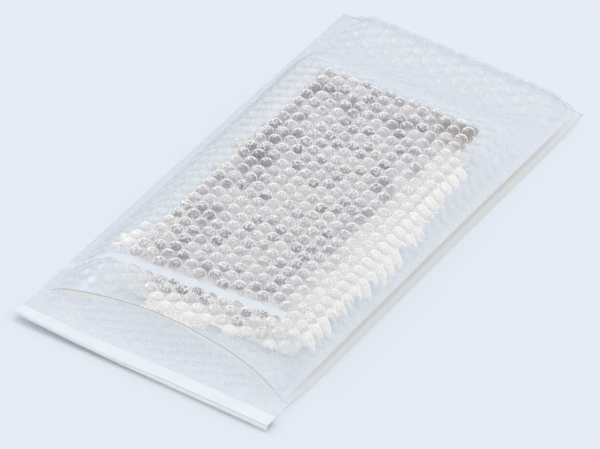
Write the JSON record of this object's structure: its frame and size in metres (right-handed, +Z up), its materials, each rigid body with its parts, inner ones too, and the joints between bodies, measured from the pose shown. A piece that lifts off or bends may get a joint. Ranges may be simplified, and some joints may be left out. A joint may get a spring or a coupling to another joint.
{
  "type": "bubble pouch",
  "caption": "Clear self-seal pouch of folded bubble film with welded sides, lying open with a flat carton inside and a peel-off liner on its flap.",
  "frame": {"origin": "on the floor, under the middle of the pouch's overall box", "axes": "+X across the pouch, +Y from the flap towards the fold at the closed end, +Z up"},
  "size_m": [0.2, 0.45, 0.0307],
  "materials": {
    "bubble_film": "clear glossy polyethylene film",
    "adhesive": "tacky hot-melt adhesive",
    "liner": "smooth satin release film",
    "carton_board": "matt printed board with bare cream sides"
  },
  "bodies": {
    "root": {"pouch": "bubble_film", "adhesive_strip": "adhesive", "release_liner": "liner", "packed_carton": "carton_board"}
  },
  "joints": []
}
